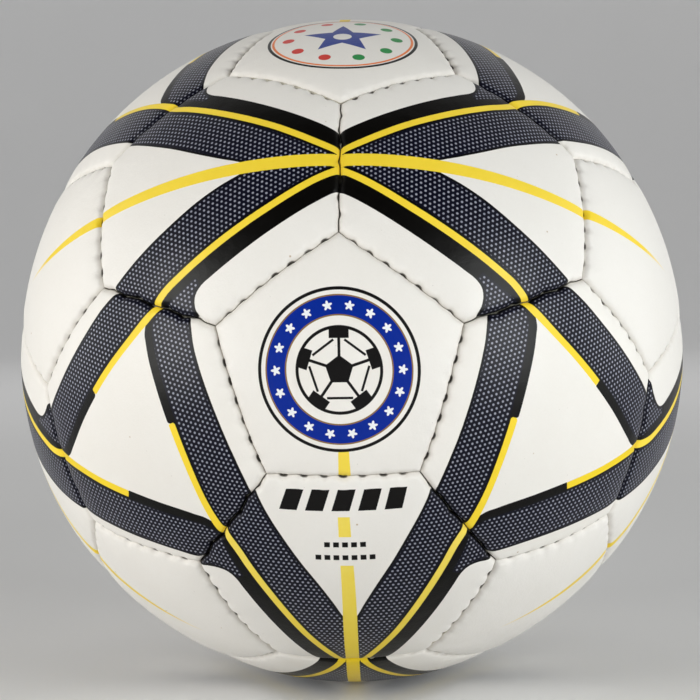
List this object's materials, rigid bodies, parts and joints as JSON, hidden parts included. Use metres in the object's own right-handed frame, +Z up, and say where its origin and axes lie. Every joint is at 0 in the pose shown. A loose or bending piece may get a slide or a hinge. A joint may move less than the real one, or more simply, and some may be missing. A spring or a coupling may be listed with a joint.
{
  "type": "soccer ball",
  "caption": "Hand-stitched indoor low-bounce football: pentagon and hexagon cover panels on cloth linings, latex bladder with damping foam, needle valve.",
  "frame": {"origin": "centre of the ball", "axes": "+Y out along the valve's axis, through the middle of the valve pentagon; -Y out through the middle of the front pentagon; +Z up, towards one corner of the front pentagon; +X to the right of someone who looks along +Y"},
  "size_m": [0.2004, 0.2004, 0.2004],
  "materials": {
    "cover": "white synthetic leather, fine grain, satin",
    "cover_print": "white synthetic leather printed black, navy dots and yellow, satin",
    "lining": "laminated woven cloth, matte",
    "thread": "waxed polyester cord",
    "latex": "natural latex, dull",
    "foam": "open-cell foam",
    "valve_rubber": "moulded rubber, semi-matte",
    "core_rubber": "soft silicone-like rubber",
    "patch_cloth": "rubberised cloth"
  },
  "bodies": {
    "root": {"pentagon_panel_01": "cover", "pentagon_panel_02": "cover", "pentagon_panel_03": "cover", "pentagon_panel_04": "cover", "pentagon_panel_05": "cover", "pentagon_panel_06": "cover", "pentagon_panel_07": "cover", "pentagon_panel_08": "cover", "pentagon_panel_09": "cover", "pentagon_panel_10": "cover", "pentagon_panel_11": "cover", "valve_pentagon_panel": "cover", "hexagon_panel_01": "cover_print", "hexagon_panel_02": "cover_print", "hexagon_panel_03": "cover_print", "hexagon_panel_04": "cover_print", "hexagon_panel_05": "cover_print", "hexagon_panel_06": "cover_print", "hexagon_panel_07": "cover_print", "hexagon_panel_08": "cover_print", "hexagon_panel_09": "cover_print", "hexagon_panel_10": "cover_print", "hexagon_panel_11": "cover_print", "hexagon_panel_12": "cover_print", "hexagon_panel_13": "cover_print", "hexagon_panel_14": "cover_print", "hexagon_panel_15": "cover_print", "hexagon_panel_16": "cover_print", "hexagon_panel_17": "cover_print", "hexagon_panel_18": "cover_print", "hexagon_panel_19": "cover_print", "hexagon_panel_20": "cover_print", "pentagon_linings": "lining", "hexagon_linings": "lining", "pentagon_seam_thread": "thread", "hexagon_seam_thread": "thread", "bladder": "latex", "damping_foam": "foam", "valve_body": "valve_rubber", "valve_core": "core_rubber", "valve_patch": "patch_cloth"}
  },
  "joints": []
}
